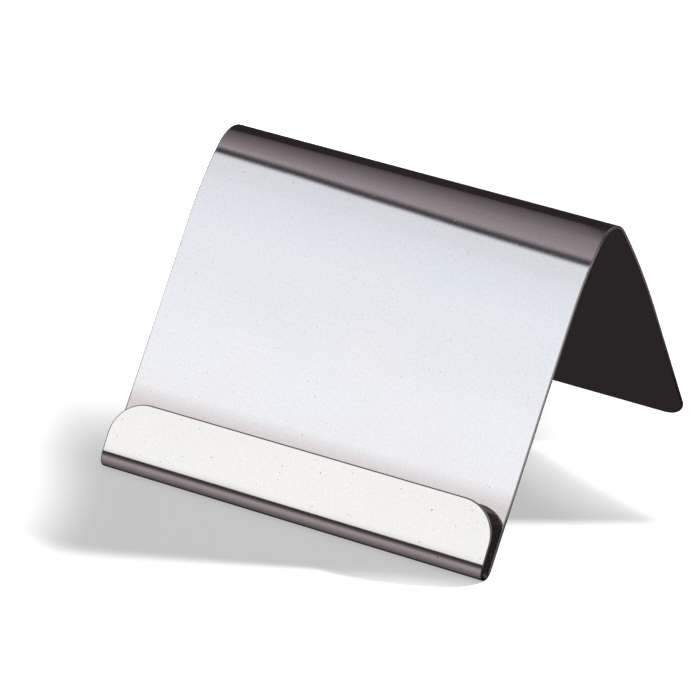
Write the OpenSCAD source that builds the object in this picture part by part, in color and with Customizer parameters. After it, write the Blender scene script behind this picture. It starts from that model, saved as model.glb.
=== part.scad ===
// Place card holder: one sheet of polished steel, cut with four round corners and bent twice.
// A tight bend at the front folds a low lip up in front of the plate, and the card stands between them.
// A wider bend at the top carries the leg, which slopes down behind and stands on its lower edge.
// Millimetres, +Z up, the lip faces -Y. The origin is on the table, under the middle of the holder.

/* [Sheet] */
// Width of the holder, along X
sheet_w = 90; // [60:1:200]
// Thickness of the sheet
sheet_t = 0.8; // [0.5:0.1:1.5]
// How much thinner the sheet is in its two tight bends, which stretch it
bend_thinning = 0.04; // [0.03:0.01:0.1]
// How much thinner it is in its slight bows
bow_thinning = 0.02; // [0.01:0.01:0.02]

/* [Lip and slot] */
// Height of the flat part of the lip, along its slope
lip_flat = 12.6; // [10:0.1:25]
// Slope of the lip, from upright, leaning back towards the plate
lip_lean = 30; // [20:0.5:32]
// Radius of the round corners at the lip's top edge
lip_corner_r = 8; // [2:0.5:9]
// Inside radius of the bend between lip and plate, which is half the slot's width
slot_r = 1.5; // [1:0.1:4]

/* [Plate] */
// Length of the flat part of the plate, along its slope
plate_flat = 54; // [30:1:120]
// Slope of the plate, from upright, leaning back
plate_lean = 33; // [32:0.5:45]
// Radius of the slight bow in the plate's upper part, at the middle of the sheet
plate_bow_r = 52; // [40:1:90]
// Angle that the plate's bow turns through
plate_bow_angle = 17.5; // [10:0.5:25]

/* [Top bend and leg] */
// Inside radius of the bend at the top
crest_r = 7.4; // [3:0.1:15]
// Radius of the faint bow in the leg's upper part, at the middle of the sheet
leg_bow_r = 220; // [100:1:230]
// Angle that the leg's bow turns through
leg_bow_angle = 8; // [2:0.5:8]
// Slope of the leg, from upright, sloping down and back
leg_lean = 32; // [20:0.5:40]
// Radius of the round corners at the leg's lower edge
leg_corner_r = 5.5; // [2:0.5:10]

/* [Hidden] */
$fn = 96;
// How far the corner cuts run past the faces that they cut
overrun = 0.3;
// How far each bend and bow runs on inside the stretches beside it, so that they join into one sheet
lap = 0.1;
steel = [0.84, 0.85, 0.87];

// A unit vector in the side view, where 0 degrees is +Y and 90 is +Z
function way(angle) = [cos(angle), sin(angle)];

// Radii of the tight bends at the middle of the sheet, and the front bend's outer radius
slot_mid_r = slot_r + sheet_t / 2;
crest_mid_r = crest_r + sheet_t / 2;
slot_outer_r = slot_mid_r + (sheet_t - bend_thinning) / 2;

// Headings of the sheet, walked from the lip over the top and down the leg
lip_heading = -90 - lip_lean;
plate_heading = 90 - plate_lean;
plate_top_heading = plate_heading - plate_bow_angle;
leg_heading = leg_lean - 90;
leg_top_heading = leg_heading + leg_bow_angle;

// Centres of the bends and ends of the flats, walked the same way from over the front bend's rest on the table
slot_centre = [0, slot_outer_r];
lip_foot = slot_centre + slot_mid_r * way(lip_heading - 90);
plate_foot = slot_centre + slot_mid_r * way(plate_heading - 90);
plate_head = plate_foot + plate_flat * way(plate_heading);
plate_bow_centre = plate_head + plate_bow_r * way(plate_heading - 90);
crest_start = plate_bow_centre + plate_bow_r * way(plate_top_heading + 90);
crest_centre = crest_start + crest_mid_r * way(plate_top_heading - 90);
leg_head = crest_centre + crest_mid_r * way(leg_top_heading + 90);
leg_bow_centre = leg_head + leg_bow_r * way(leg_top_heading - 90);
leg_start = leg_bow_centre + leg_bow_r * way(leg_heading + 90);
// The leg is as long as brings the inner corner of its lower edge down to the table
leg_flat = (leg_start.y - sheet_t / 2 * sin(leg_lean)) / cos(leg_lean);
leg_foot = leg_start + leg_flat * way(leg_heading);

// The holder's reach to the front and back, for the origin under its middle
front_reach = slot_centre.x - slot_outer_r;
back_reach = leg_foot.x + sheet_t / 2 * cos(leg_heading + 90);
middle = (front_reach + back_reach) / 2;

// A flat stretch of the sheet in the side view, from a point on its middle line along a heading
module flat_run(start, heading, length) {
    translate(start)
        rotate(heading)
            translate([0, -sheet_t / 2])
                square([length, sheet_t]);
}

// A bent stretch in the side view: a thinned ring of the sheet, kept between two directions from its centre
module bent_run(centre, mid_r, from_angle, turn, thinning) {
    bent_t = sheet_t - thinning;
    lap_angle = lap / mid_r * 180 / PI;
    whole_turn = turn + 2 * lap_angle;
    reach = (mid_r + bent_t) / cos(whole_turn / 4);
    translate(centre)
        rotate(from_angle - lap_angle)
            intersection() {
                difference() {
                    circle(mid_r + bent_t / 2);
                    circle(mid_r - bent_t / 2);
                }
                polygon([[0, 0], for (share = [0, 0.5, 1]) reach * way(whole_turn * share)]);
            }
}

// The whole side view of the sheet: lip, slot bend, plate, bow, top bend, bow and leg
module side_view() {
    crest_turn = plate_top_heading - leg_top_heading;
    flat_run(lip_foot, lip_heading + 180, lip_flat);
    bent_run(slot_centre, slot_mid_r, lip_heading - 90, plate_heading - lip_heading, bend_thinning);
    flat_run(plate_foot, plate_heading, plate_flat);
    bent_run(plate_bow_centre, plate_bow_r, plate_top_heading + 90, plate_bow_angle, bow_thinning);
    bent_run(crest_centre, crest_mid_r, leg_top_heading + 90, crest_turn, bend_thinning);
    bent_run(leg_bow_centre, leg_bow_r, leg_heading + 90, leg_bow_angle, bow_thinning);
    flat_run(leg_start, leg_heading, leg_flat);
}

// What comes off one corner of the sheet, with the corner at the origin and the sheet along -X and -Y
module corner_cut(r) {
    difference() {
        translate([-r, -r])
            square(r + overrun);
        translate([-r, -r])
            circle(r);
    }
}

// Both corner cuts of a sheet edge, through the sheet, at a point on its middle line in the side view.
// The heading is the sheet's own as it leaves over that edge.
module edge_corners(edge, heading, r) {
    translate([0, edge.x, edge.y])
        rotate([heading - 90, 0, 0])
            rotate([90, 0, 0])
                for (side = [0, 1])
                    mirror([side, 0, 0])
                        translate([sheet_w / 2, 0, -sheet_t / 2 - overrun])
                            linear_extrude(sheet_t + 2 * overrun)
                                corner_cut(r);
}

module bent_sheet() {
    color(steel)
        translate([0, -middle, 0])
            difference() {
                translate([-sheet_w / 2, 0, 0])
                    rotate([90, 0, 90])
                        linear_extrude(sheet_w)
                            side_view();
                edge_corners(lip_foot + lip_flat * way(lip_heading + 180), lip_heading + 180, lip_corner_r);
                edge_corners(leg_foot, leg_heading, leg_corner_r);
            }
}

bent_sheet();
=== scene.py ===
# Place card holder: one sheet of polished steel, bent twice, on a pale studio floor.
# Metres, +Z up, the lip faces -Y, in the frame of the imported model.
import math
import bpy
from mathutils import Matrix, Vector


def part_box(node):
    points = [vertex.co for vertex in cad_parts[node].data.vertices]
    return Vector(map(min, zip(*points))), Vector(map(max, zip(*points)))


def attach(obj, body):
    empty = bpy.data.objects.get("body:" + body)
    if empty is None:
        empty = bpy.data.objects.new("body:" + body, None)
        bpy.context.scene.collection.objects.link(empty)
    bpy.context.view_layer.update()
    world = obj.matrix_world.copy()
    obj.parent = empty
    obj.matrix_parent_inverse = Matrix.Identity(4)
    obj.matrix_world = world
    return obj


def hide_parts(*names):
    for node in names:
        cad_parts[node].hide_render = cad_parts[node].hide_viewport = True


bl_info = {
    "name": "Place Card Holder",
    "version": (1, 0, 0),
    "blender": (4, 5, 0),
    "location": "3D View > Sidebar > Card Holder",
    "description": "Bends the sheet of a place card holder, finishes its steel and sets it in a small studio",
    "category": "Add Mesh",
}

import bpy
import numpy as np
from mathutils import Matrix, Vector

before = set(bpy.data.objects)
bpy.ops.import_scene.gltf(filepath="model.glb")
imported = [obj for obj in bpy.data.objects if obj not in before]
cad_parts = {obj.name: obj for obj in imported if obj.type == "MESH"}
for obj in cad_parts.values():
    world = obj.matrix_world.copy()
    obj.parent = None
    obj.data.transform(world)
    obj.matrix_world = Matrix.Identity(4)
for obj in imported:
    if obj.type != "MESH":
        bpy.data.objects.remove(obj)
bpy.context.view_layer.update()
NODE = "bent_sheet"


# The sheet's side view

# Length between the points of the sheet's middle line
LINE_STEP = 4e-6
# How far the line starts before the lip's top edge, which leaves room for that edge's slant
LIP_SPARE = 0.001
# Length of the leg's flat before the table cuts it off, more than it needs
LEG_SPARE = 0.06


def running_sum(values, step):
    """The integral of evenly spaced values by trapezoids, from 0 at the first."""
    return np.concatenate([[0], np.cumsum((values[1:] + values[:-1]) / 2 * step)])


def side_stretches(sizes):
    """Length, curvature and easing of the middle line's stretches, from the lip's top to the leg's foot.

    Curvature is turn over length, and positive to the left of travel. The easing is how long the line
    takes to pass from one stretch's curvature to the next one's, half of it on either side of their
    junction.
    """
    slot_turn = math.pi - sizes.plate_lean + sizes.lip_lean
    crest_turn = math.pi - sizes.plate_lean - sizes.plate_bow_angle - sizes.leg_lean - sizes.leg_bow_angle
    lengths, curvatures = np.array([
        (sizes.lip_flat, 0),
        (sizes.slot_bend_r * slot_turn, 1 / sizes.slot_bend_r),
        (sizes.plate_flat, 0),
        (sizes.plate_bow_r * sizes.plate_bow_angle, -1 / sizes.plate_bow_r),
        (sizes.crest_r * crest_turn, -1 / sizes.crest_r),
        (sizes.leg_bow_r * sizes.leg_bow_angle, -1 / sizes.leg_bow_r),
        (LEG_SPARE, 0),
    ]).T
    slot, bow, crest = sizes.slot_ease, sizes.bow_ease, sizes.crest_ease
    return lengths, curvatures, np.array([slot, slot, bow, crest, crest, bow])


def middle_line(sizes):
    """The middle line in the side view: length along it, place (y, z), direction to its left, curvature.

    Curvature is the first stretch's plus, at each junction, the step to the next one's times a ramp from
    0 to 1 over the easing. Heading is the lip's plus the integral of curvature, and place is the integral
    of (cos heading, sin heading). The line then moves to rest on the table with its front bend at the
    box's front, and the leg ends where the rounded inner corner of its lower edge comes down to the table.
    """
    lengths, curvatures, eases = side_stretches(sizes)
    along = np.arange(-LIP_SPARE, lengths.sum(), LINE_STEP)
    joints = np.cumsum(lengths)[:-1]
    slot_start, slot_end, crest_end = joints[0], joints[1], joints[4]
    ramps = np.clip((along[:, None] - joints) / eases + 0.5, 0, 1)
    curvature = curvatures[0] + ramps @ np.diff(curvatures)
    heading = -math.pi / 2 - sizes.lip_lean + running_sum(curvature, LINE_STEP)
    place = np.stack([running_sum(np.cos(heading), LINE_STEP), running_sum(np.sin(heading), LINE_STEP)], 1)
    left = np.stack([-np.sin(heading), np.cos(heading)], 1)
    front_bend = (along > slot_start - sizes.slot_ease) & (along < slot_end + sizes.slot_ease)
    outside = (place - left * sizes.thickness / 2)[front_bend]
    box_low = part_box(NODE)[0]
    place += np.array([box_low.y, box_low.z]) - outside.min(0)
    rounding = sizes.edge_r * (math.sin(sizes.leg_lean) + math.cos(sizes.leg_lean) - 1)
    lowest = place[:, 1] - sizes.thickness / 2 * math.sin(sizes.leg_lean) + rounding
    end = np.nonzero((lowest < box_low.z) & (along > crest_end))[0][0]
    return along[:end], place[:end], left[:end], np.abs(curvature[:end])


# The sheet's blank and its mesh

# How far the underside's part of the blank's map lies to the side of the upper side's
UNDERSIDE = 0.2
# How far inside each side the mesh has one more column, which keeps the cut edge's shading off the faces
CLOSE_COLUMN = 0.00015
# Points of the cut edge's profile over each of its two quarter turns
EDGE_POINTS = 5
# Slow waves of the sheet: length and phase across it, then length and phase along it
WAVES = (
    (0.040, 0.9, 0.027, 0.3),
    (0.023, 2.2, 0.051, 1.7),
    (0.061, 4.0, 0.019, 2.9),
    (0.031, 5.1, 0.034, 4.4),
)
# Curvature from which the sheet is stiff enough to stay true, in radians per metre
STIFF_CURVATURE = 40


def corner_rows(corner_r, side, sizes):
    """Rows over a pair of round corners: distance from the sheet's end, half width and edge direction.

    For even steps of t, a row over a corner of radius r is r (1 - cos t) from the end, and its half width
    is the least one plus r sin t. The edge faces (side cos t, sin t) there, as along and across.
    """
    r = corner_r - sizes.edge_r
    least = sizes.width / 2 - sizes.edge_r - r
    t = np.linspace(0, math.pi / 2, sizes.corner_rows)
    return sizes.edge_r + r * (1 - np.cos(t)), least + r * np.sin(t), side * np.cos(t), np.sin(t)


def row_places(along, curvature, sizes):
    """Where the mesh's rows lie along the sheet, their half widths and the direction of the edge there.

    Between the round corners the rows are evenly spread over length plus turning.
    """
    lip_from_end, lip_widths, lip_way_s, lip_way_x = corner_rows(sizes.lip_corner_r, -1, sizes)
    leg_from_end, leg_widths, leg_way_s, leg_way_x = corner_rows(sizes.leg_corner_r, 1, sizes)
    leg_rows = along[-1] - leg_from_end
    between = (along > lip_from_end[-1]) & (along < leg_rows[-1])
    cost = running_sum(1 / sizes.row_step + curvature[between] / sizes.row_turn, along[1] - along[0])
    rows = np.interp(np.linspace(0, cost[-1], int(cost[-1]) + 2), cost, along[between])[1:-1]
    straight = np.zeros(len(rows))
    whole = sizes.width / 2 - sizes.edge_r
    s = np.concatenate([lip_from_end, rows, leg_rows[::-1]])
    widths = np.concatenate([lip_widths, straight + whole, leg_widths[::-1]])
    way_s = np.concatenate([lip_way_s, straight, leg_way_s[::-1]])
    way_x = np.concatenate([lip_way_x, straight + 1, leg_way_x[::-1]])
    return s, widths, way_s, way_x


def across_places(sizes):
    """Shares of the half width at the mesh's columns: even, with one more close inside each side."""
    close = 1 - CLOSE_COLUMN / (sizes.width / 2)
    even = np.linspace(-1, 1, sizes.columns)
    return np.concatenate([[-1, -close], even[1:-1], [close, 1]])


def outline(rows, columns, way_s, way_x):
    """The blank's outline: a loop of the face grid's points, and the direction that its edge faces there."""
    end = np.zeros(columns - 1)
    loop = np.concatenate([
        np.arange(columns - 1),
        np.arange(rows - 1) * columns + columns - 1,
        (rows - 1) * columns + np.arange(columns - 1, 0, -1),
        np.arange(rows - 1, 0, -1) * columns,
    ])
    loop_way_s = np.concatenate([end - 1, way_s[:-1], end + 1, way_s[:0:-1]])
    loop_way_x = np.concatenate([end, way_x[:-1], end, -way_x[:0:-1]])
    return loop, loop_way_s, loop_way_x


def edge_profile(sizes):
    """The cut edge's profile: how far its points lie out from the outline, and up from the sheet's middle.

    For an angle t it goes out by r sin t, and up to half the thickness less r plus r cos t, with r the
    edge's rounding. Then it goes back the same way on the underside.
    """
    r = sizes.edge_r
    t = np.linspace(0, math.pi / 2, EDGE_POINTS)
    out = r * np.sin(t)
    up = sizes.thickness / 2 - r + r * np.cos(t)
    return np.concatenate([out[1:], out[:0:-1]]), np.concatenate([up[1:], -up[:0:-1]])


def unevenness(s, x, sizes):
    """How far the sheet strays from true where nothing stiffens it: the mean of slow waves."""
    total = 0
    for x_length, x_phase, s_length, s_phase in WAVES:
        wave_x = np.sin(2 * math.pi * x / x_length + x_phase)
        wave_s = np.sin(2 * math.pi * s / s_length + s_phase)
        total = total + wave_x * wave_s
    return sizes.unevenness * total / len(WAVES)


def bend_points(s, x, c, line, sizes):
    """Points of the bent sheet from points of the blank: along it, across it, and out of its middle.

    (s, x, c) goes to (x, y(s) + c left_y(s), z(s) + c left_z(s)). Before that, s moves back at the right
    and on at the left by half the lip's slant, less towards the bend, and c strays by the unevenness,
    less as curvature grows and not at all in the bends.
    """
    along, place, left, curvature = line
    rise = np.maximum(1 - s / sizes.lip_flat, 0)
    slanted = s - rise * sizes.lip_slant / 2 * x / (sizes.width / 2)
    calm = np.interp(s, along, np.clip(1 - (curvature / STIFF_CURVATURE) ** 2, 0, 1))
    offset = c + calm * unevenness(s, x, sizes)
    middle_y, middle_z = (np.interp(slanted, along, values) for values in place.T)
    left_y, left_z = (np.interp(slanted, along, values) for values in left.T)
    return np.stack([x, middle_y + offset * left_y, middle_z + offset * left_z], 1)


def sheet_faces(rows, columns, loop, ring_count):
    """Quads of both faces and of the strips between the cut edge's rings, all wound to face out.

    With them comes which are of the cut edge. The points are the upper face's, the underside's and the
    rings', one after another.
    """
    corner = (np.arange(rows - 1)[:, None] * columns + np.arange(columns - 1)).ravel()
    quad = np.stack([corner, corner + 1, corner + columns + 1, corner + columns], 1)
    underside = rows * columns
    rings = 2 * underside + np.arange(ring_count * len(loop)).reshape(ring_count, -1)
    hoops = np.concatenate([loop[None], rings, loop[None] + underside])
    near, far = hoops[:-1], hoops[1:]
    strip = np.stack([near, np.roll(near, -1, 1), np.roll(far, -1, 1), far], 2).reshape(-1, 4)
    faces = np.concatenate([quad[:, ::-1], quad + underside, strip])
    return faces, np.repeat([0, 1], [2 * len(quad), len(strip)])


def make_sheet(sizes):
    """The bent sheet as one closed mesh: points, faces, map of the blank, and which faces are cut edge.

    The two faces are grids of x = u times the row's half width at c = plus and minus half the thickness.
    Between them the cut edge's profile is carried round the blank's outline as rings of points.
    """
    along, place, left, curvature = middle_line(sizes)
    s, widths, way_s, way_x = row_places(along, curvature, sizes)
    share = across_places(sizes)
    rows, columns = len(s), len(share)
    face_s = np.repeat(s, columns)
    face_x = (widths[:, None] * share).ravel()
    loop, way_s, way_x = outline(rows, columns, way_s, way_x)
    ring_out, ring_up = edge_profile(sizes)
    ring_s = face_s[loop] + ring_out[:, None] * way_s
    ring_x = face_x[loop] + ring_out[:, None] * way_x

    # Points of the upper face, of the underside and of the rings
    upper_c = np.full(len(face_s), sizes.thickness / 2)
    all_s = np.concatenate([face_s, face_s, ring_s.ravel()])
    all_x = np.concatenate([face_x, face_x, ring_x.ravel()])
    all_c = np.concatenate([upper_c, -upper_c, np.repeat(ring_up, len(loop))])
    points = bend_points(all_s, all_x, all_c, (along, place, left, curvature), sizes)
    faces, cut = sheet_faces(rows, columns, loop, len(ring_up))
    blank_map = np.stack([all_x, all_s], 1)
    blank_map[len(face_s):2 * len(face_s), 0] += UNDERSIDE
    return points, faces, blank_map, cut


def add_mesh(name, points, faces):
    """A smooth mesh object at the origin from arrays of points and quads."""
    mesh = bpy.data.meshes.new(name)
    mesh.from_pydata(points, [], faces.tolist())
    mesh.shade_smooth()
    piece = bpy.data.objects.new(name, mesh)
    bpy.context.scene.collection.objects.link(piece)
    return piece


def add_blank_map(mesh, blank_map):
    """A UV map of both sides of the flat blank, in metres, for patterns that follow the sheet's bends."""
    corners = np.empty(len(mesh.loops), dtype=np.int32)
    mesh.loops.foreach_get("vertex_index", corners)
    layer = mesh.uv_layers.new(name="blank")
    layer.uv.foreach_set("vector", blank_map[corners].astype(np.float32).ravel())


# Shader nodes

BLACK = (0.0, 0.0, 0.0)
WHITE = (1.0, 1.0, 1.0)


def node(tree, kind, links=(), **values):
    """A node with its settings given by name, and its sockets by name or number, as values or sockets."""
    made = tree.nodes.new("ShaderNode" + kind)
    for key, value in values.items():
        setattr(made, key, value)
    for socket, source in dict(links).items():
        if isinstance(source, bpy.types.NodeSocket):
            tree.links.new(source, made.inputs[socket])
        else:
            made.inputs[socket].default_value = source
    return made


def maths(tree, operation, *sources):
    """The output of a Math node on up to three numbers or sockets."""
    return node(tree, "Math", dict(enumerate(sources)), operation=operation).outputs[0]


def spread(tree, value, from_low=0.0, from_high=1.0, to_low=0.0, to_high=1.0, smooth=False):
    """The output of a clamped Map Range node."""
    sockets = {
        "Value": value, "From Min": from_low, "From Max": from_high, "To Min": to_low, "To Max": to_high}
    kind = "SMOOTHSTEP" if smooth else "LINEAR"
    return node(tree, "MapRange", sockets, interpolation_type=kind).outputs["Result"]


def falling(tree, value, places, smooth=False):
    """A mask that falls from 1 to 0 between two places."""
    return spread(tree, value, *places, 1.0, 0.0, smooth)


def darkened(tree, shade, mask, left):
    """A shade times a share that goes from 1 to what is left of it as a mask goes from 0 to 1."""
    return maths(tree, "MULTIPLY", shade, spread(tree, mask, to_low=1.0, to_high=left))


def opaque(colour):
    """A colour for a colour socket, from red, green and blue."""
    return (*colour, 1)


def mixed(tree, factor, first, second):
    """The output of a Mix node between two colours, each a socket or red, green and blue."""
    sockets = {"Factor": factor}
    for label, colour in (("A", first), ("B", second)):
        sockets[label] = colour if isinstance(colour, bpy.types.NodeSocket) else opaque(colour)
    return node(tree, "Mix", sockets, data_type="RGBA").outputs["Result"]


def colour_stops(tree, value, stops):
    """The colour of a ramp with stops given as (place, colour) pairs, from 0 to the last one's place."""
    reach = stops[-1][0]
    made = node(tree, "ValToRGB", {"Fac": maths(tree, "DIVIDE", value, reach)})
    elements = made.color_ramp.elements
    elements[0].color = opaque(stops[0][1])
    elements[1].color = opaque(stops[-1][1])
    for place, colour in stops[1:-1]:
        elements.new(place / reach).color = opaque(colour)
    return made.outputs["Color"]


# Node groups of the steel

# The middle stretch of a noise texture's values, which is spread over 0 to 1
NOISE_MIDDLE = (0.3, 0.7)
# Least and greatest size of a pit, as shares of the size that its group is given
PIT_SIZES = (0.4, 1.2)
# How steep a pit's side is: at 2 its mask reaches 1 halfway to its middle
PIT_STEEPNESS = 2.0


def new_group(name, inputs, outputs):
    """An empty shader node group with named sockets, and its input and output nodes."""
    group = bpy.data.node_groups.new(name, "ShaderNodeTree")
    for label, kind, default in inputs:
        socket = group.interface.new_socket(label, in_out="INPUT", socket_type="NodeSocket" + kind)
        if default is not None:
            socket.default_value = default
    for label, kind in outputs:
        group.interface.new_socket(label, in_out="OUTPUT", socket_type="NodeSocket" + kind)
    return group, group.nodes.new("NodeGroupInput").outputs, group.nodes.new("NodeGroupOutput").inputs


def haze_group():
    """Polishing haze: a fine grain, and slow clouds, both from 0 to 1, on a vector in metres."""
    group, start, end = new_group(
        "polishing_haze",
        [("Vector", "Vector", None), ("Grain Scale", "Float", 1700.0), ("Cloud Scale", "Float", 90.0)],
        [("Grain", "Float"), ("Cloud", "Float")],
    )
    grain = node(group, "TexNoise", {
        "Vector": start["Vector"], "Scale": start["Grain Scale"], "Detail": 1.0})
    cloud = node(group, "TexNoise", {
        "Vector": start["Vector"], "Scale": start["Cloud Scale"], "Detail": 4.0, "Roughness": 0.55})
    group.links.new(spread(group, grain.outputs["Fac"], *NOISE_MIDDLE), end["Grain"])
    group.links.new(spread(group, cloud.outputs["Fac"], *NOISE_MIDDLE), end["Cloud"])


def speck_group():
    """Sparse tiny pits, on a vector in metres: a mask that is 1 in the middle of some cells.

    The cells are those of a Voronoi texture. A share of them holds a pit, picked by the cell's own colour,
    which also gives its size.
    """
    group, start, end = new_group(
        "tiny_specks",
        [("Vector", "Vector", None), ("Cell Scale", "Float", None), ("Share", "Float", None),
         ("Size", "Float", None)],
        [("Mask", "Float")],
    )
    cells = {"Vector": start["Vector"], "Scale": start["Cell Scale"]}
    cell = node(group, "TexVoronoi", cells, voronoi_dimensions="2D")
    parts = node(group, "SeparateColor", {"Color": cell.outputs["Color"]}).outputs
    chosen = maths(group, "LESS_THAN", parts["Red"], start["Share"])
    size = spread(group, parts["Green"], to_low=PIT_SIZES[0], to_high=PIT_SIZES[1])
    size = maths(group, "MULTIPLY", start["Size"], size)
    spot = node(group, "MapRange", {"Value": cell.outputs["Distance"], "From Min": size, "From Max": 0.0})
    spot = maths(group, "MULTIPLY", spot.outputs["Result"], PIT_STEEPNESS)
    group.links.new(maths(group, "MULTIPLY", chosen, maths(group, "MINIMUM", spot, 1.0)), end["Mask"])


# The polished faces

# Coarse and fine pits: cells per metre, share of the cells with a pit, size in cells and depth
PITS = ((230.0, 0.06, 0.05, 1.0), (440.0, 0.3, 0.08, 0.7))
# What is left of the steel's brightness between the clouds, in the grain, in a pit and in the border's
# painted shade
CLOUD_SHADE = 0.985
GRAIN_SHADE = 0.93
PIT_SHADE = 0.74
BORDER_SHADE = 0.4
# How much rougher the steel is in a pit
PIT_ROUGHNESS = 0.2
# How metallic the steel inside the lip stays
LIP_METALLIC = 0.9
# The tint's slow change between cool and warm: its scale, and the noise values between which it runs
TINT_SCALE = 26.0
TINT_CHANGE = (0.35, 0.65)
# Between which places along the blank the painted shade inside the lip, on the border and in the band ends
LIP_END = (0.0135, 0.0155)
BORDER_END = (0.026, 0.034)
BAND_END = (0.0312, 0.0352)
# Between which places off the blank's middle the border's painted shade starts
BORDER_START = (0.0445, 0.0447)


def make_steel(finish):
    """Polished steel: a near mirror with a grain, tiny pits and faint clouds of tint.

    Painted shade darkens the inside of the lip and the border beside the slot, and a band of painted shade
    lies over the slot. All three go by the place on the blank's upper side.
    """
    material = bpy.data.materials.new("polished_steel")
    material.use_nodes = True
    tree = material.node_tree
    shader = tree.nodes["Principled BSDF"]
    blank = node(tree, "UVMap", uv_map="blank").outputs["UV"]
    place = node(tree, "SeparateXYZ", {0: blank}).outputs
    upper = maths(tree, "LESS_THAN", place["X"], UNDERSIDE / 2)
    haze = node(tree, "Group", {"Vector": blank}, node_tree=bpy.data.node_groups["polishing_haze"])
    grain, cloud = haze.outputs["Grain"], haze.outputs["Cloud"]
    masks = []
    for scale, share, size, depth in PITS:
        sockets = {"Vector": blank, "Cell Scale": scale, "Share": share, "Size": size}
        specks = node(tree, "Group", sockets, node_tree=bpy.data.node_groups["tiny_specks"])
        masks.append(maths(tree, "MULTIPLY", specks.outputs["Mask"], depth))
    pit = maths(tree, "MAXIMUM", *masks)

    # Mask of the painted shade inside the lip; it also makes the steel there a little less metallic
    inside = maths(tree, "MULTIPLY", upper, falling(tree, place["Y"], LIP_END))
    # Painted shade along the plate's sides beside the slot
    beside_slot = maths(tree, "MULTIPLY", upper, falling(tree, place["Y"], BORDER_END))
    border = spread(tree, maths(tree, "ABSOLUTE", place["X"]), *BORDER_START)
    painted_border_shade = maths(tree, "MULTIPLY", border, beside_slot)
    shade = spread(tree, cloud, to_low=CLOUD_SHADE)
    shade = maths(tree, "MULTIPLY", shade, spread(tree, grain, to_low=GRAIN_SHADE))
    shade = darkened(tree, shade, pit, PIT_SHADE)
    # Painted shade inside the lip
    shade = darkened(tree, shade, inside, finish.painted_slot_shade)
    shade = darkened(tree, shade, painted_border_shade, BORDER_SHADE)

    warmth = node(tree, "TexNoise", {"Vector": blank, "Scale": TINT_SCALE, "Detail": 2.0}).outputs["Fac"]
    tint = mixed(tree, spread(tree, warmth, *TINT_CHANGE), finish.steel, finish.warm_steel)
    # A band of painted shade on the plate just over the slot
    painted_shade_band = maths(tree, "MULTIPLY", upper, falling(tree, place["Y"], BAND_END))
    tint = mixed(tree, painted_shade_band, tint, finish.painted_shade_band)
    rough = maths(tree, "ADD", finish.polish, maths(tree, "MULTIPLY", grain, finish.haze))
    rough = maths(tree, "ADD", rough, maths(tree, "MULTIPLY", pit, PIT_ROUGHNESS))
    tree.links.new(mixed(tree, shade, BLACK, tint), shader.inputs["Base Color"])
    tree.links.new(rough, shader.inputs["Roughness"])
    tree.links.new(spread(tree, inside, to_low=1.0, to_high=LIP_METALLIC), shader.inputs["Metallic"])
    return material


# The cut edge

# Scale of its grain, what is left of its brightness in the grain, and its least and greatest roughness
EDGE_GRAIN_SCALE = 6000.0
EDGE_GRAIN_SHADE = 0.8
EDGE_ROUGHNESS = (0.16, 0.3)
# What is left of its brightness under the painted shade round the front bend and round the top bend
SLOT_BEND_SHADE = 0.35
TOP_BEND_SHADE = 0.33
# Share of the top bend's painted shade that stays down the leg
LEG_SHARE = 0.4
# Between which places along the blank the painted shade grows before each bend and fades again past it
SLOT_BEND_START = (0.003, 0.008)
SLOT_BEND_END = (0.026, 0.036)
TOP_BEND_START = (0.0868, 0.0905)
TOP_BEND_END = (0.092, 0.1)


def make_cut_edge(finish):
    """The cut edge: the same steel, duller, with a fine grain, and painted shade round the two bends."""
    material = bpy.data.materials.new("cut_edge")
    material.use_nodes = True
    tree = material.node_tree
    shader = tree.nodes["Principled BSDF"]
    sockets = {"Vector": node(tree, "TexCoord").outputs["Object"], "Grain Scale": EDGE_GRAIN_SCALE}
    haze = node(tree, "Group", sockets, node_tree=bpy.data.node_groups["polishing_haze"])
    grain = haze.outputs["Grain"]
    along = node(tree, "SeparateXYZ", {0: node(tree, "UVMap", uv_map="blank").outputs["UV"]}).outputs["Y"]
    past_slot = falling(tree, along, SLOT_BEND_END)
    past_top = spread(tree, along, *TOP_BEND_END, 1.0, LEG_SHARE)
    # Masks of the painted shade round the front bend and round the top bend
    slot_bend = maths(tree, "MINIMUM", spread(tree, along, *SLOT_BEND_START), past_slot)
    top_bend = maths(tree, "MINIMUM", spread(tree, along, *TOP_BEND_START), past_top)
    shade = spread(tree, grain, to_low=EDGE_GRAIN_SHADE)
    shade = darkened(tree, shade, slot_bend, SLOT_BEND_SHADE)
    shade = darkened(tree, shade, top_bend, TOP_BEND_SHADE)
    tree.links.new(mixed(tree, shade, BLACK, finish.cut_edge), shader.inputs["Base Color"])
    rough = spread(tree, grain, to_low=EDGE_ROUGHNESS[0], to_high=EDGE_ROUGHNESS[1])
    tree.links.new(rough, shader.inputs["Roughness"])
    bump = node(tree, "Bump", {"Height": grain, "Strength": 0.2, "Distance": 0.00003})
    tree.links.new(bump.outputs["Normal"], shader.inputs["Normal"])
    shader.inputs["Metallic"].default_value = 1.0
    return material


# Sizes and finishes

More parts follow.
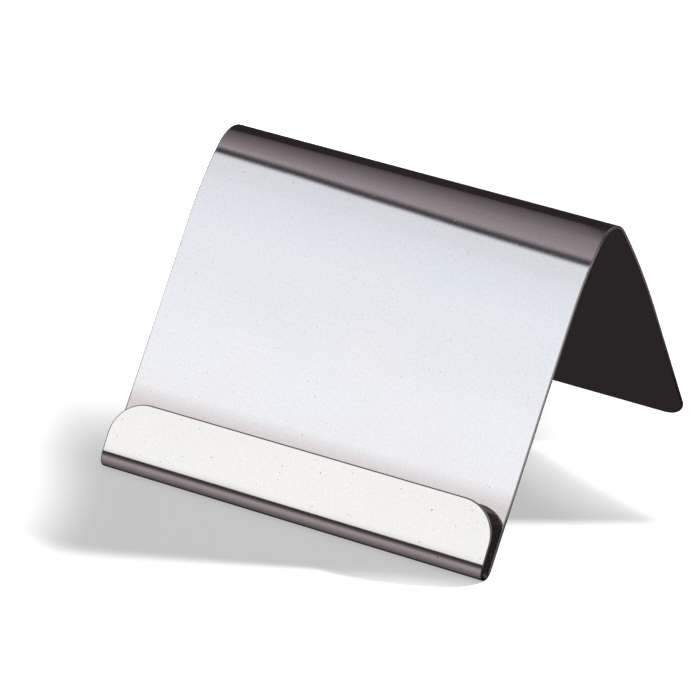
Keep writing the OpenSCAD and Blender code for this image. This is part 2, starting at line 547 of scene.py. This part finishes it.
class HolderSizes(bpy.types.PropertyGroup):
    """Sizes of the sheet: the part's, but as thin as its bends all over, and with slightly longer flats."""
    width: bpy.props.FloatProperty(
        name="Width", description="Width of the holder", default=0.09, unit="LENGTH", precision=5)
    thickness: bpy.props.FloatProperty(
        name="Thickness", description="Thickness of the sheet", default=0.00076, unit="LENGTH", precision=5)
    edge_r: bpy.props.FloatProperty(
        name="Edge rounding", description="Radius along the cut edges",
        default=0.00028, unit="LENGTH", precision=5)
    lip_flat: bpy.props.FloatProperty(
        name="Lip height", description="Flat part of the lip, along its slope",
        default=0.01277, unit="LENGTH", precision=5)
    lip_lean: bpy.props.FloatProperty(
        name="Lip lean", description="Slope of the lip from upright",
        default=math.radians(30), subtype="ANGLE")
    lip_corner_r: bpy.props.FloatProperty(
        name="Lip corners", description="Radius of the lip's round corners",
        default=0.008, unit="LENGTH", precision=5)
    lip_slant: bpy.props.FloatProperty(
        name="Lip slant", description="How much taller the lip is at its right end",
        default=0.00048, unit="LENGTH", precision=5)
    slot_bend_r: bpy.props.FloatProperty(
        name="Slot bend", description="Radius of the front bend at the middle of the sheet",
        default=0.001788, unit="LENGTH", precision=5)
    slot_ease: bpy.props.FloatProperty(
        name="Slot bend easing", description="How gradually the front bend starts and ends",
        default=0.0024, unit="LENGTH", precision=5)
    plate_flat: bpy.props.FloatProperty(
        name="Plate height", description="Flat part of the plate, along its slope",
        default=0.05422, unit="LENGTH", precision=5)
    plate_lean: bpy.props.FloatProperty(
        name="Plate lean", description="Slope of the plate from upright",
        default=math.radians(33), subtype="ANGLE")
    plate_bow_r: bpy.props.FloatProperty(
        name="Plate bow", description="Radius of the bow in the plate's upper part",
        default=0.052, unit="LENGTH", precision=5)
    plate_bow_angle: bpy.props.FloatProperty(
        name="Plate bow angle", description="Angle that the plate's bow turns through",
        default=math.radians(17.5), subtype="ANGLE")
    bow_ease: bpy.props.FloatProperty(
        name="Bow easing", description="How gradually the bows run out into the flats",
        default=0.008, unit="LENGTH", precision=5)
    crest_r: bpy.props.FloatProperty(
        name="Top bend", description="Radius of the top bend at the middle of the sheet",
        default=0.007678, unit="LENGTH", precision=5)
    crest_ease: bpy.props.FloatProperty(
        name="Top bend easing", description="How gradually the top bend starts and ends",
        default=0.002, unit="LENGTH", precision=5)
    leg_bow_r: bpy.props.FloatProperty(
        name="Leg bow", description="Radius of the faint bow in the leg",
        default=0.22, unit="LENGTH", precision=5)
    leg_bow_angle: bpy.props.FloatProperty(
        name="Leg bow angle", description="Angle that the leg's bow turns through",
        default=math.radians(8), subtype="ANGLE")
    leg_lean: bpy.props.FloatProperty(
        name="Leg lean", description="Slope of the leg from upright",
        default=math.radians(32), subtype="ANGLE")
    leg_corner_r: bpy.props.FloatProperty(
        name="Leg corners", description="Radius of the leg's round corners",
        default=0.0055, unit="LENGTH", precision=5)
    unevenness: bpy.props.FloatProperty(
        name="Unevenness", description="How far the sheet strays from true",
        default=0.000015, unit="LENGTH", precision=6)
    columns: bpy.props.IntProperty(
        name="Columns", description="Mesh columns across the sheet", default=41, min=3)
    corner_rows: bpy.props.IntProperty(
        name="Corner rows", description="Mesh rows round each corner", default=17, min=3)
    row_step: bpy.props.FloatProperty(
        name="Row step", description="Length between mesh rows on the flats",
        default=0.002, unit="LENGTH", precision=5)
    row_turn: bpy.props.FloatProperty(
        name="Row turn", description="Turn between mesh rows in the bends",
        default=math.radians(2.5), subtype="ANGLE")


class SteelFinish(bpy.types.PropertyGroup):
    """Colours and polish of the steel."""
    steel: bpy.props.FloatVectorProperty(
        name="Steel", description="Colour of the polished faces",
        size=3, subtype="COLOR", min=0, max=1, default=(0.848, 0.863, 0.893))
    warm_steel: bpy.props.FloatVectorProperty(
        name="Warm steel", description="Colour of the faces where the polish is warmer",
        size=3, subtype="COLOR", min=0, max=1, default=(0.863, 0.863, 0.875))
    # Colour of the painted shade band on the plate just over the slot
    painted_shade_band: bpy.props.FloatVectorProperty(
        name="Rubbed steel", description="Colour where cards rub the plate over the slot",
        size=3, subtype="COLOR", min=0, max=1, default=(0.68, 0.63, 0.62))
    cut_edge: bpy.props.FloatVectorProperty(
        name="Cut edge", description="Colour of the cut edge",
        size=3, subtype="COLOR", min=0, max=1, default=(0.38, 0.335, 0.34))
    # Painted shade inside the lip: what is left of the steel's brightness there
    painted_slot_shade: bpy.props.FloatProperty(
        name="Slot shade", description="What is left of the steel's brightness inside the lip",
        default=0.35, min=0, max=1)
    polish: bpy.props.FloatProperty(
        name="Roughness", description="Roughness of the polished faces where they are clearest",
        default=0.054, min=0, max=1)
    haze: bpy.props.FloatProperty(
        name="Haze", description="How much rougher the grain makes them",
        default=0.012, min=0, max=1)


class StudioSettings(bpy.types.PropertyGroup):
    """Camera, floor and light."""
    camera_round: bpy.props.FloatProperty(
        name="Camera round", description="Camera's angle round the holder from straight ahead",
        default=math.radians(28.403), subtype="ANGLE")
    camera_up: bpy.props.FloatProperty(
        name="Camera up", description="Camera's angle above the floor",
        default=math.radians(25.247), subtype="ANGLE")
    camera_roll: bpy.props.FloatProperty(
        name="Camera roll", description="Turn of the camera about its line of sight",
        default=math.radians(3.01), subtype="ANGLE")
    camera_distance: bpy.props.FloatProperty(
        name="Camera distance", description="From the camera to the point that it looks at",
        default=1.0749, unit="LENGTH")
    camera_lens: bpy.props.FloatProperty(
        name="Lens", description="Focal length on a 36 mm sensor, in millimetres", default=270.73)
    camera_target: bpy.props.FloatVectorProperty(
        name="Looks at", description="The point that the camera looks at",
        size=3, subtype="XYZ", unit="LENGTH", default=(0.00147, -0.02638, 0.03218))
    floor_glow: bpy.props.FloatProperty(
        name="Floor glow", description="Share of the floor's white that doesn't depend on the lamps",
        default=0.46, min=0, max=1)
    soft_light: bpy.props.FloatProperty(
        name="Soft light", description="Strength of the even light from all round", default=0.2, min=0)


# Camera and lamps

# The key lamp's direction from the holder
KEY_WAY = (1.37, 1.25, 1.0)
# Each lamp's name, kind, direction, the place on the floor that it faces, distance, size and power, and for
# a spot its blend and softness
LAMPS = (
    ("key_lamp", "AREA", KEY_WAY, (0, 0), 1.5, 0.07, 58, 0.0, 0.0),
    ("leg_spot", "SPOT", (1.0, -1.0, 1.3), (0.04, 0.042), 0.5, 0.0295, 26, 0.2, 0.02),
    ("left_spot", "SPOT", (-0.35, -0.2, 1.0), (-0.1425, -0.111), 0.6, 0.102, 22, 0.3, 0.003),
    ("side_spot", "SPOT", (-0.5, 0.2, 1.0), (-0.1276, 0.0565), 0.6, 0.11, 55, 1.0, 0.003),
    ("front_spot", "SPOT", (-0.3, -0.6, 1.0), (0.0482, -0.1439), 0.6, 0.08, 16.8, 0.13, 0.003),
)
# The patch of floor that the flag keeps the key lamp off, and the flag's height
FLAG_SHADE = ((0.017, 0.0195), (0.0615, 0.0), (0.0365, -0.0165), (0.015, -0.032))
FLAG_HEIGHT = 0.045


def place_camera(studio):
    """A camera on the line of sight that the angles give, turned about it by the roll."""
    a, e, r = studio.camera_round, studio.camera_up, studio.camera_roll
    back = Vector((math.sin(a) * math.cos(e), -math.cos(a) * math.cos(e), math.sin(e)))
    right = Vector((math.cos(a), math.sin(a), 0))
    up = back.cross(right)
    across = right * math.cos(r) + up * math.sin(r)
    upward = up * math.cos(r) - right * math.sin(r)
    data = bpy.data.cameras.new("camera")
    data.lens = studio.camera_lens
    data.sensor_width = 36.0
    data.clip_start = 0.05
    data.clip_end = 20.0
    camera = bpy.data.objects.new("camera", data)
    bpy.context.scene.collection.objects.link(camera)
    turned = Matrix((across, upward, back)).transposed().to_4x4()
    stand = Vector(studio.camera_target) + back * studio.camera_distance
    camera.matrix_world = Matrix.Translation(stand) @ turned
    bpy.context.scene.camera = camera


def add_lamp(name, kind, way, aim, distance, size, power, blend, soft):
    """A lamp in a direction from the point on the floor that it faces, not shown by the steel.

    Size is the side of an area lamp, or the radius that a spot lights on the floor. Blend is the share of
    that radius over which a spot fades out, and soft is its source's own radius.
    """
    data = bpy.data.lights.new(name, kind)
    data.energy = power
    lamp = bpy.data.objects.new(name, data)
    bpy.context.scene.collection.objects.link(lamp)
    back = Vector(way).normalized()
    turned = back.to_track_quat("Z", "Y").to_matrix().to_4x4()
    lamp.matrix_world = Matrix.Translation(Vector((*aim, 0)) + back * distance) @ turned
    lamp.visible_glossy = False
    if kind == "AREA":
        data.shape = "SQUARE"
        data.size = size
    else:
        data.shadow_soft_size = soft
        data.spot_size = 2 * math.atan(size / distance)
        data.spot_blend = blend


# Floor and cards

# Half width and level of the floor and of the table card, which lies between it and the holder
FLOOR_HALF = 4.0
FLOOR_LEVEL = -0.0002
TABLE_HALF = 1.4
TABLE_LEVEL = -0.0001
PAPER = (0.92, 0.92, 0.92)
# The place along Y where the table card's painted shadow in front of the holder starts
TABLE_FRONT_EDGE = -0.0463
# Its brightness there, by metres in front of that place and colour: a painted shadow that fades out away from
# the holder
TABLE_FRONT = (
    (0.0, (0.082, 0.068, 0.072)),
    (0.0005, (0.105, 0.087, 0.09)),
    (0.0011, (0.145, 0.119, 0.122)),
    (0.0022, (0.19, 0.156, 0.16)),
    (0.0042, (0.25, 0.205, 0.21)),
    (0.009, (0.32, 0.262, 0.266)),
    (0.03, (0.37, 0.304, 0.31)),
)
# Its painted shadow under and behind the holder, its brightness beside it, and between which places it
# changes over
TABLE_PAINTED_SHADOW = (0.027, 0.021, 0.022)
TABLE_LIGHT = (0.34, 0.29, 0.29)
TABLE_SIDE = (0.046, 0.075)
TABLE_BACK = (0.2, 0.4)


def new_surface(name):
    """A material with an empty node tree and its output's surface socket."""
    material = bpy.data.materials.new(name)
    material.use_nodes = True
    material.node_tree.nodes.clear()
    return material, material.node_tree, node(material.node_tree, "OutputMaterial").inputs["Surface"]


def add_level(name, half, level):
    """A level square round the origin."""
    points = [(-half, -half, level), (half, -half, level), (half, half, level), (-half, half, level)]
    return add_mesh(name, np.array(points), np.array([[0, 1, 2, 3]]))


def object_place(tree):
    """The X, Y and Z sockets of the place on an object."""
    return node(tree, "SeparateXYZ", {0: node(tree, "TexCoord").outputs["Object"]}).outputs


def add_floor(studio):
    """A wide white paper floor just under the holder, which the camera sees partly by its own glow."""
    floor = add_level("floor", FLOOR_HALF, FLOOR_LEVEL)
    material, tree, surface = new_surface("white_paper")
    paper = node(tree, "BsdfDiffuse", {"Color": opaque(PAPER)})
    glow = node(tree, "Emission", {"Color": opaque(WHITE), "Strength": 1.0})
    path = node(tree, "LightPath").outputs
    seen = maths(tree, "MAXIMUM", path["Is Camera Ray"], path["Is Transmission Ray"])
    share = maths(tree, "MULTIPLY", seen, studio.floor_glow)
    both = node(tree, "MixShader", {"Fac": share, 1: paper.outputs[0], 2: glow.outputs[0]})
    tree.links.new(both.outputs[0], surface)
    floor.data.materials.append(material)
    floor.visible_glossy = False


def only_reflected(card):
    """Makes a card one that only reflections show."""
    card.visible_camera = False
    card.visible_diffuse = False
    card.visible_transmission = False
    card.visible_volume_scatter = False
    card.visible_shadow = False


def finish_card(card, material, surface, colour):
    """Gives a card a glow of a colour, which lights nothing and only reflections show."""
    tree = material.node_tree
    glow = node(tree, "Emission", {"Color": colour, "Strength": 1.0})
    tree.links.new(glow.outputs[0], surface)
    material.cycles.emission_sampling = "NONE"
    card.data.materials.append(material)
    only_reflected(card)


def add_flag(shade, way, height):
    """A small flag that keeps a lamp in a direction off a patch of floor, and that nothing shows."""
    corners = [(x + way[0] / way[2] * height, y + way[1] / way[2] * height, height) for x, y in shade]
    flag = add_mesh("flag", np.array(corners), np.arange(len(corners))[None])
    material, tree, surface = new_surface("flag")
    tree.links.new(node(tree, "BsdfDiffuse", {"Color": opaque(BLACK)}).outputs[0], surface)
    flag.data.materials.append(material)
    only_reflected(flag)
    flag.visible_glossy = False
    flag.visible_shadow = True


def add_table_card():
    """The grey-brown table that the steel reflects: a painted shadow under and behind the holder, light round
    that.
    """
    card = add_level("table_card", TABLE_HALF, TABLE_LEVEL)
    material, tree, surface = new_surface("table_card")
    place = object_place(tree)
    ahead = maths(tree, "SUBTRACT", TABLE_FRONT_EDGE, place["Y"])
    front = colour_stops(tree, ahead, TABLE_FRONT)
    aside = spread(tree, maths(tree, "ABSOLUTE", place["X"]), *TABLE_SIDE, smooth=True)
    aside = maths(tree, "MULTIPLY", aside, falling(tree, place["Y"], TABLE_BACK, smooth=True))
    back = mixed(tree, aside, TABLE_PAINTED_SHADOW, TABLE_LIGHT)
    finish_card(card, material, surface, mixed(tree, maths(tree, "GREATER_THAN", ahead, 0.0), back, front))


# The light tent

TENT_R = 1.2
TENT_HALF = 2.6
# The angles that it runs between, in degrees and a little past level, and the number of its strips
TENT_ENDS = (-1, 181)
TENT_STRIPS = 91
# Brightness of its cards over the angle from the front, by degrees and colour
FRONT_CARDS = (
    (0, (0.38, 0.312, 0.318)), (6.7, (0.33, 0.265, 0.268)), (13.2, (0.195, 0.158, 0.16)),
    (18.6, (0.09, 0.074, 0.076)), (22.8, (0.045, 0.035, 0.036)), (27.0, (0.035, 0.028, 0.028)),
    (27.7, (1.16, 1.135, 1.09)), (29.4, (1.11, 1.085, 1.04)), (31, (1.07, 1.045, 1.02)),
    (36, (1.04, 1.03, 1.045)), (37.5, (1.05, 1.05, 1.075)), (38.6, (1.0, 0.995, 1.03)),
    (40.3, (0.945, 0.962, 1.005)), (44.4, (0.915, 0.933, 0.985)), (52.4, (0.88, 0.895, 0.947)),
    (60, (0.83, 0.843, 0.885)), (66.3, (0.835, 0.825, 0.85)), (67.3, (0.05, 0.043, 0.05)),
    (69.0, (0.05, 0.043, 0.05)), (71, (0.37, 0.315, 0.325)), (76, (0.285, 0.235, 0.245)),
    (92, (0.21, 0.168, 0.178)), (116, (0.135, 0.108, 0.115)), (129, (0.085, 0.072, 0.076)),
    (134, (0.027, 0.02, 0.021)), (180, (0.027, 0.02, 0.021)),
)
# The same for the cards behind, which only show in the holder's back
BACK_CARDS = (
    (0, (0.353, 0.29, 0.294)), (95, (0.21, 0.168, 0.178)), (112, (0.3, 0.28, 0.3)),
    (118, (0.80, 0.82, 0.86)), (150, (0.98, 0.98, 0.98)), (158, (0.5, 0.48, 0.48)),
    (180, (0.16, 0.13, 0.13)),
)
# The slant of the cards' edges in degrees, the stretch of X over which it turns from plus to minus, and the
# angles over which it starts and ends
SLANT = 3.3
SLANT_STRETCH = (-0.64, -0.45)
SLANT_START = (40, 60)
SLANT_END = (80, 120)
# The same for the lean of the dark card, which has no end
LEAN = 15
LEAN_STRETCH = (-0.4575, -0.4445)
LEAN_START = (86, 100)
# The dark panel's middle along X, how far off that it ends, and the angles over which the back cards start
PANEL_MIDDLE = -0.555
PANEL_END = (0.2, 0.34)
BACK_START = (90, 100)


def tent_mesh():
    """The tent's points, on two half circles of its radius that are joined along X, and its faces."""
    turn = np.radians(np.linspace(*TENT_ENDS, TENT_STRIPS + 1))
    rim = np.stack([-np.cos(turn), np.sin(turn)], 1) * TENT_R
    points = np.concatenate([np.insert(rim, 0, x, 1) for x in (-TENT_HALF, TENT_HALF)])
    low = np.arange(len(turn) - 1)
    return points, np.stack([low, low + 1, low + 1 + len(turn), low + len(turn)], 1)


def add_light_tent():
    """Half a cylinder of cards over the holder, along X, whose brightness goes by the angle from the front.

    The angle is atan2(z, -y) in degrees. The cards' edges near 68 degrees run aslant: the angle is turned
    back by an amount that goes from plus to minus the slant over the tent's middle stretch. Then it is
    turned on at the right end of that stretch, so that the dark card there leans forward. Behind, the back
    cards take over, but for a dark panel in the stretch that the top bend shows to the camera.
    """
    tent = add_mesh("light_tent", *tent_mesh())
    material, tree, surface = new_surface("light_tent")
    place = object_place(tree)
    angle = maths(tree, "ARCTAN2", place["Z"], maths(tree, "MULTIPLY", place["Y"], -1.0))
    angle = maths(tree, "DEGREES", angle)
    near = spread(tree, angle, *SLANT_START, smooth=True)
    far = falling(tree, angle, SLANT_END, smooth=True)
    slant = spread(tree, place["X"], *SLANT_STRETCH, SLANT, -SLANT)
    slant = maths(tree, "MULTIPLY", slant, maths(tree, "MULTIPLY", near, far))
    lean = spread(tree, place["X"], *LEAN_STRETCH, 0.0, LEAN)
    lean = maths(tree, "MULTIPLY", lean, spread(tree, angle, *LEAN_START))
    turned = maths(tree, "ADD", maths(tree, "SUBTRACT", angle, slant), lean)
    front = colour_stops(tree, turned, FRONT_CARDS)
    back = colour_stops(tree, angle, BACK_CARDS)
    off_panel = maths(tree, "ABSOLUTE", maths(tree, "SUBTRACT", place["X"], PANEL_MIDDLE))
    off_panel = spread(tree, off_panel, *PANEL_END, smooth=True)
    behind = maths(tree, "MULTIPLY", off_panel, spread(tree, angle, *BACK_START))
    finish_card(tent, material, surface, mixed(tree, behind, front, back))


def set_world(studio):
    """A white world for the camera and for reflections, and a soft one for the rest."""
    world = bpy.data.worlds.new("studio_air")
    world.use_nodes = True
    tree = world.node_tree
    tree.nodes.clear()
    path = node(tree, "LightPath").outputs
    seen = maths(tree, "MAXIMUM", path["Is Camera Ray"], path["Is Glossy Ray"])
    seen = maths(tree, "MAXIMUM", seen, path["Is Transmission Ray"])
    strength = spread(tree, seen, to_low=studio.soft_light)
    sky = node(tree, "Background", {"Color": opaque(WHITE), "Strength": strength})
    tree.links.new(sky.outputs[0], node(tree, "OutputWorld").inputs["Surface"])
    bpy.context.scene.world = world


# Operators

class HOLDER_OT_sheet(bpy.types.Operator):
    """Bend the steel sheet from its flat blank and finish it"""
    bl_idname = "holder.sheet"
    bl_label = "Bent sheet"

    def execute(self, context):
        points, faces, blank_map, cut = make_sheet(context.scene.holder_sizes)
        piece = add_mesh("holder_sheet", points, faces)
        add_blank_map(piece.data, blank_map)
        piece.data.polygons.foreach_set("material_index", cut.astype(np.int32))
        haze_group()
        speck_group()
        piece.data.materials.append(make_steel(context.scene.steel_finish))
        piece.data.materials.append(make_cut_edge(context.scene.steel_finish))
        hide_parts(NODE)
        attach(piece, "root")
        return {"FINISHED"}


class HOLDER_OT_studio(bpy.types.Operator):
    """Set the camera, the floor, the cards, the world and the lamps"""
    bl_idname = "holder.studio"
    bl_label = "Studio"

    def execute(self, context):
        studio = context.scene.studio_settings
        place_camera(studio)
        add_floor(studio)
        add_table_card()
        add_light_tent()
        set_world(studio)
        for lamp in LAMPS:
            add_lamp(*lamp)
        add_flag(FLAG_SHADE, KEY_WAY, FLAG_HEIGHT)
        context.scene.view_settings.view_transform = "Standard"
        return {"FINISHED"}


class HOLDER_PT_panel(bpy.types.Panel):
    """Lists the holder's sizes, finish and studio, and what makes them"""
    bl_label = "Place Card Holder"
    bl_idname = "HOLDER_PT_panel"
    bl_space_type = "VIEW_3D"
    bl_region_type = "UI"
    bl_category = "Card Holder"

    def draw(self, context):
        scene = context.scene
        for group in (scene.holder_sizes, scene.steel_finish, scene.studio_settings):
            column = self.layout.column()
            for name in group.__annotations__:
                column.prop(group, name)
        self.layout.operator("holder.sheet")
        self.layout.operator("holder.studio")


CLASSES = (HolderSizes, SteelFinish, StudioSettings, HOLDER_OT_sheet, HOLDER_OT_studio, HOLDER_PT_panel)


def register():
    for item in CLASSES:
        bpy.utils.register_class(item)
    bpy.types.Scene.holder_sizes = bpy.props.PointerProperty(type=HolderSizes)
    bpy.types.Scene.steel_finish = bpy.props.PointerProperty(type=SteelFinish)
    bpy.types.Scene.studio_settings = bpy.props.PointerProperty(type=StudioSettings)


def unregister():
    del bpy.types.Scene.studio_settings
    del bpy.types.Scene.steel_finish
    del bpy.types.Scene.holder_sizes
    for item in reversed(CLASSES):
        bpy.utils.unregister_class(item)


def main():
    """Makes the whole scene."""
    register()
    bpy.ops.holder.sheet()
    bpy.ops.holder.studio()


if __name__ == "__main__":
    main()
